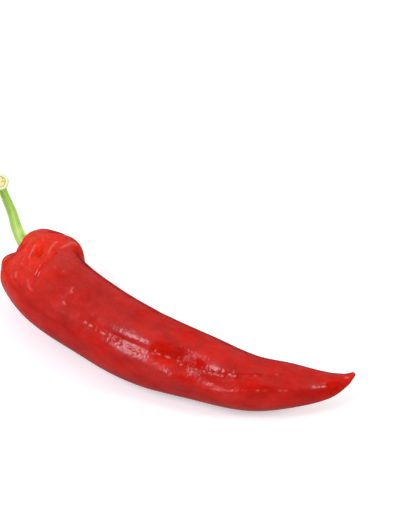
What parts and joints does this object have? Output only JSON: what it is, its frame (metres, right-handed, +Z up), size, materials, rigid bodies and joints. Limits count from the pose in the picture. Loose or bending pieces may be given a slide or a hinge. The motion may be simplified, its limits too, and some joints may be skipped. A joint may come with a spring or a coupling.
{
  "type": "hungarian hot wax pepper",
  "caption": "Ripe red hot wax pepper as picked, lying on its side: a tapered, lobed pod with a hooked tip, and a green calyx with its curved stem.",
  "frame": {"origin": "on the table, under the middle of the part's box", "axes": "+X along the pod from its shoulder and stem to its tip, -Y towards the outside of the pod's bow, +Z up from the table"},
  "size_m": [0.1794, 0.0594, 0.0607],
  "materials": {
    "red_skin": "glossy waxy skin of a ripe red pepper, with dull dents and small wrinkles along the seam",
    "green_stem": "matte ridged green stem and calyx, pale at the cut end"
  },
  "bodies": {
    "root": {"pod": "red_skin", "calyx_and_stem": "green_stem"}
  },
  "joints": []
}
